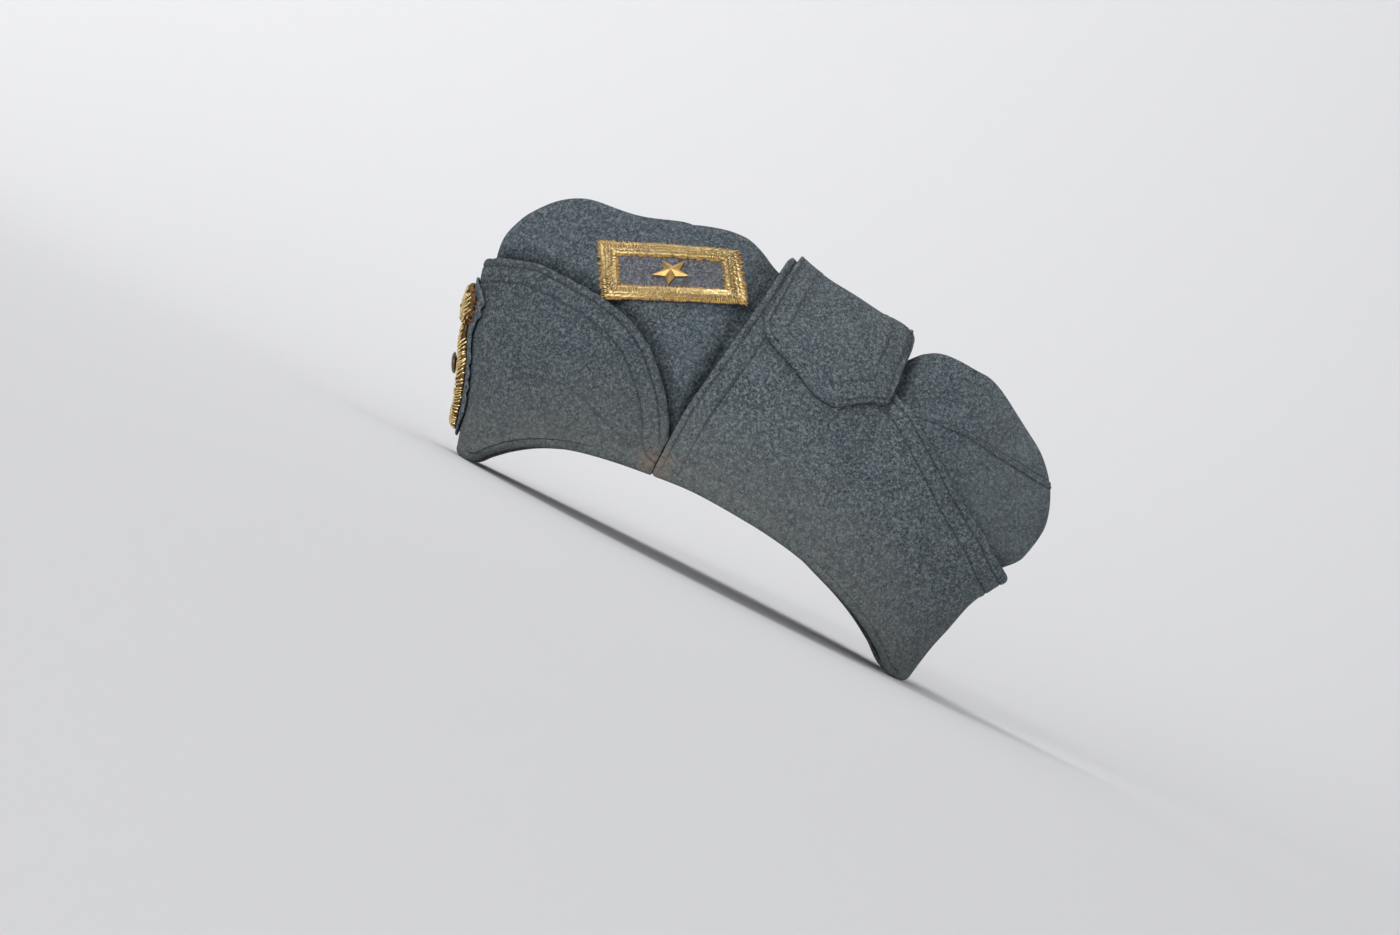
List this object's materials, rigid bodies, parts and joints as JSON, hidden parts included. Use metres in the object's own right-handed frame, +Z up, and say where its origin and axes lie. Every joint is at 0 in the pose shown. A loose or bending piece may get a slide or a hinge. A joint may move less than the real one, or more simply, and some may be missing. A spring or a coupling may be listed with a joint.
{
  "type": "garrison cap",
  "caption": "Soft wool garrison cap with a turned-up front flap, a turned-up curtain closed by a tab over the ridge, a bullion badge in front and a braided rank patch at the side.",
  "frame": {"origin": "middle of the cap's bounding box, on the surface that the rim stands on", "axes": "+Z up, the forehead towards -Y, the nape towards +Y and the wearer's left towards +X"},
  "size_m": [0.1636, 0.2672, 0.1424],
  "materials": {
    "crown_wool": "matt fulled wool with a short nap",
    "flap_wool": "matt fulled wool with a short nap",
    "patch_wool": "matt melton wool",
    "gold_braid": "woven gilt lace, worn",
    "bullion": "padded gilt wire embroidery",
    "star_brass": "stamped gilt metal, satin",
    "disc_brass": "dull dark gilt"
  },
  "bodies": {
    "root": {"crown_top": "crown_wool", "crown_back": "crown_wool", "front_flap": "flap_wool", "curtain": "flap_wool", "closing_tab": "flap_wool", "rank_patch": "patch_wool", "rank_braid": "gold_braid", "rank_star": "star_brass", "badge_backing": "flap_wool", "badge_sprigs": "bullion", "badge_roundel": "bullion", "badge_disc": "disc_brass", "badge_plume": "bullion"}
  },
  "joints": []
}
